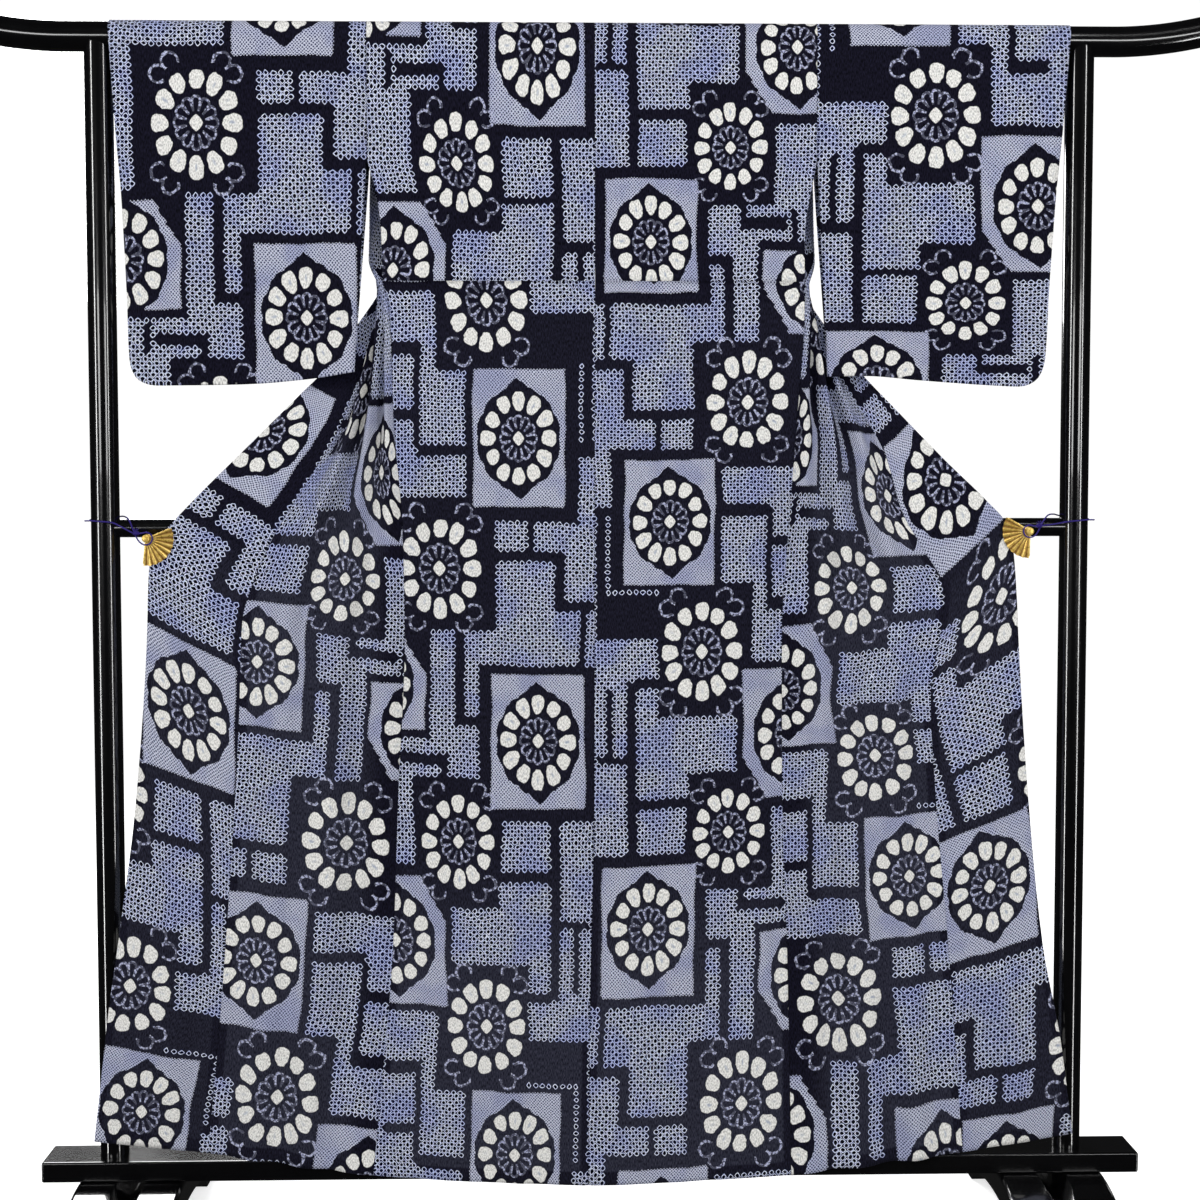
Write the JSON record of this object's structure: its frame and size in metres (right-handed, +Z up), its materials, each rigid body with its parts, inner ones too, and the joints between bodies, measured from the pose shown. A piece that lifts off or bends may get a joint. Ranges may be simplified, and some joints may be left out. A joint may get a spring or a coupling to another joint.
{
  "type": "yukata on a kimono stand",
  "caption": "Shibori-dyed cotton yukata spread by its back on a black lacquered kimono stand, with its front edges drawn out by gold fan clips on tie cords.",
  "frame": {"origin": "on the floor, under the middle of the stand", "axes": "+X to the viewer's right along the rod, -Y toward the viewer, who looks at the garment's back, +Z up"},
  "size_m": [1.7716, 0.38, 1.6603],
  "materials": {
    "shibori_body": "indigo cotton with tied dots, matt",
    "shibori_okumi": "indigo cotton with tied dots, matt",
    "shibori_sleeve": "indigo cotton with tied dots, matt",
    "shibori_collar": "indigo cotton with tied dots, doubled, matt",
    "black_lacquer": "glossy black lacquer",
    "gold_metal": "polished gold",
    "purple_cord": "twisted cord"
  },
  "bodies": {
    "root": {"back_left": "shibori_body", "back_right": "shibori_body", "board": "black_lacquer", "clip_left": "gold_metal", "clip_right": "gold_metal", "collar": "shibori_collar", "cord_left": "purple_cord", "cord_right": "purple_cord", "crossbar": "black_lacquer", "foot_left": "black_lacquer", "foot_right": "black_lacquer", "front_left": "shibori_body", "front_right": "shibori_body", "okumi_left": "shibori_okumi", "okumi_right": "shibori_okumi", "rod": "black_lacquer", "sleeve_left": "shibori_sleeve", "sleeve_right": "shibori_sleeve", "upright_left": "black_lacquer", "upright_right": "black_lacquer"}
  },
  "joints": []
}
